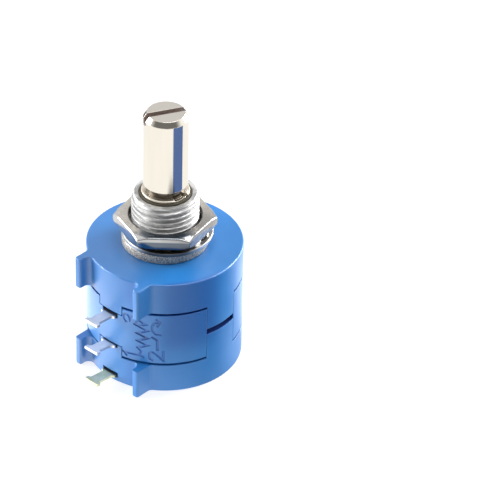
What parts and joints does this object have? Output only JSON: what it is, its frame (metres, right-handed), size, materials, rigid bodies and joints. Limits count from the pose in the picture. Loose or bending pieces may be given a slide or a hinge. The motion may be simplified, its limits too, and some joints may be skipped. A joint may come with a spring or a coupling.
{
  "type": "multiturn potentiometer",
  "caption": "Round wirewound multiturn potentiometer with a threaded bushing, hex nut, slotted shaft and side solder terminals.",
  "frame": {"origin": "centre of the rear face, on the shaft axis", "axes": "+Z along the shaft towards its slotted end, -Y towards the solder terminals"},
  "size_m": [0.0222, 0.026, 0.0397],
  "materials": {
    "case_plastic": "moulded, satin, mid blue",
    "rotor_plastic": "moulded, dark grey",
    "carriage_plastic": "moulded, off white",
    "dark_plastic": "stamped, dark brown",
    "resistance_wire": "close wound resistance wire, dull",
    "brass": "rolled strip",
    "gilt": "gold flashed",
    "bushing_metal": "turned, matte nickel plate",
    "polished_nickel": "polished nickel plate",
    "bright_nickel": "bright spring steel",
    "washer_steel": "stamped spring steel, zinc plate",
    "nut_nickel": "satin nickel plate",
    "tinned_brass": "hot tinned"
  },
  "bodies": {
    "case": {"front_housing": "case_plastic", "rear_housing": "case_plastic", "element_drum": "case_plastic", "resistance_element": "resistance_wire", "front_lead": "brass", "rear_lead": "brass", "wiper_brush": "brass", "bushing": "bushing_metal", "thrust_washer": "dark_plastic", "terminal_1": "tinned_brass", "terminal_2": "tinned_brass", "terminal_3": "tinned_brass"},
    "spindle": {"shaft": "polished_nickel", "retaining_ring": "bright_nickel", "rotor": "rotor_plastic", "contact_rail": "gilt", "slip_ring": "gilt"},
    "wiper": {"wiper_carriage": "carriage_plastic", "wiper_contact": "gilt", "rail_contact": "gilt"},
    "washer": {"lock_washer": "washer_steel"},
    "nut": {"mounting_nut": "nut_nickel"}
  },
  "joints": [
    {"name": "shaft_turn", "type": "hinge", "parent": "case", "child": "spindle", "pos_m": [0, 0, 0.02], "axis": [0, 0, 1], "range_deg": [-1800, 1800]},
    {"name": "wiper_travel", "type": "slide", "parent": "spindle", "child": "wiper", "axis": [0, 0, 1], "range_m": [-0.0055, 0.0055]},
    {"name": "washer_lift", "type": "slide", "parent": "case", "child": "washer", "axis": [0, 0, 1], "range_m": [0, 0.00317]},
    {"name": "nut_turn", "type": "hinge", "parent": "washer", "child": "nut", "pos_m": [0, 0, 0.022], "axis": [0, 0, 1], "range_deg": [0, 1440]}
  ],
  "couplings": [
    {"joint": "shaft_turn", "follows": "wiper_travel", "rad_per_m": 5712},
    {"joint": "nut_turn", "follows": "washer_lift", "rad_per_m": 7915.8}
  ]
}
